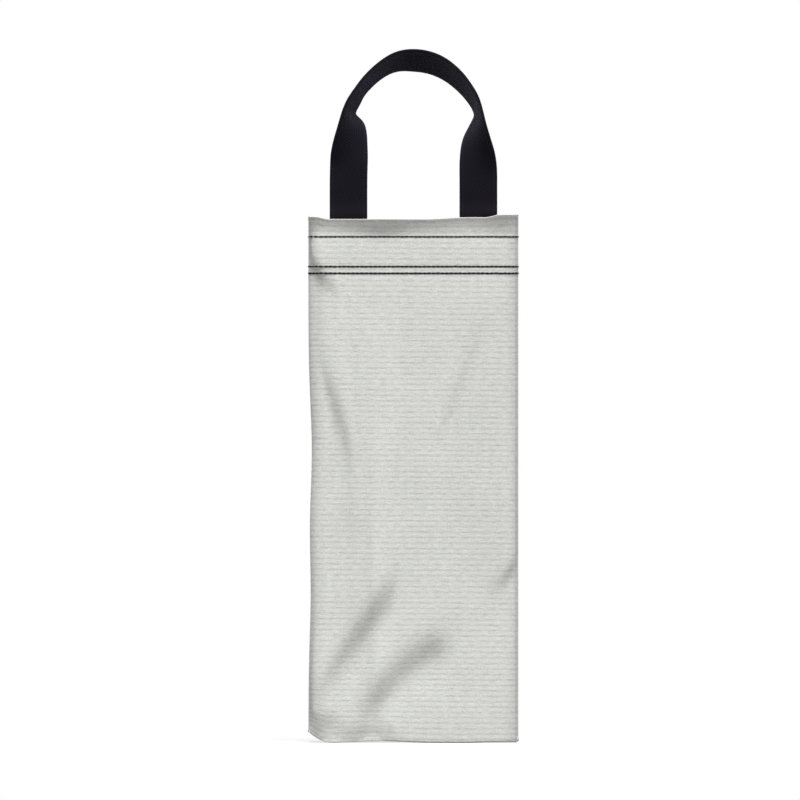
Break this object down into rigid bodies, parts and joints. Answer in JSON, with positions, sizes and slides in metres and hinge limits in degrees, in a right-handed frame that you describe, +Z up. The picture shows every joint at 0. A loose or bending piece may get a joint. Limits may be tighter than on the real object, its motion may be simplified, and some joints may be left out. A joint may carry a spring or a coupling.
{
  "type": "bottle carrier",
  "caption": "Tall gusseted cloth bag for one bottle, open at the top, with a stitched hem and webbing handles that rise from inside the mouth and swing down over the panels.",
  "frame": {"origin": "middle of the base, on the surface that the bag stands on", "axes": "+Z up from the base to the handles, +X to the right across the front panel, -Y out of the front panel"},
  "size_m": [0.1406, 0.102, 0.4626],
  "materials": {
    "cloth": "matt pale grey cloth with fine raised ribs running across it",
    "webbing": "matt black woven webbing with a ridge along each edge",
    "hem_thread": "black sewing thread",
    "seam_thread": "pale grey overlock thread"
  },
  "bodies": {
    "bag": {"front_panel": "cloth", "back_panel": "cloth", "left_gusset": "cloth", "right_gusset": "cloth", "base_panel": "cloth", "base_seam_thread": "seam_thread", "front_left_seam_thread": "seam_thread", "front_right_seam_thread": "seam_thread", "back_left_seam_thread": "seam_thread", "back_right_seam_thread": "seam_thread", "hem_top_stitching": "hem_thread", "hem_upper_twin_stitching": "hem_thread", "hem_lower_twin_stitching": "hem_thread", "front_handle_left_tail": "webbing", "front_handle_right_tail": "webbing", "back_handle_left_tail": "webbing", "back_handle_right_tail": "webbing"},
    "front_handle": {"front_handle": "webbing"},
    "back_handle": {"back_handle": "webbing"}
  },
  "joints": [
    {"name": "front_handle_swing", "type": "hinge", "parent": "bag", "child": "front_handle", "pos_m": [0, -0.045, 0.35], "axis": [1, 0, 0], "range_deg": [0, 160]},
    {"name": "back_handle_swing", "type": "hinge", "parent": "bag", "child": "back_handle", "pos_m": [0, 0.045, 0.35], "axis": [-1, 0, 0], "range_deg": [0, 160]}
  ]
}
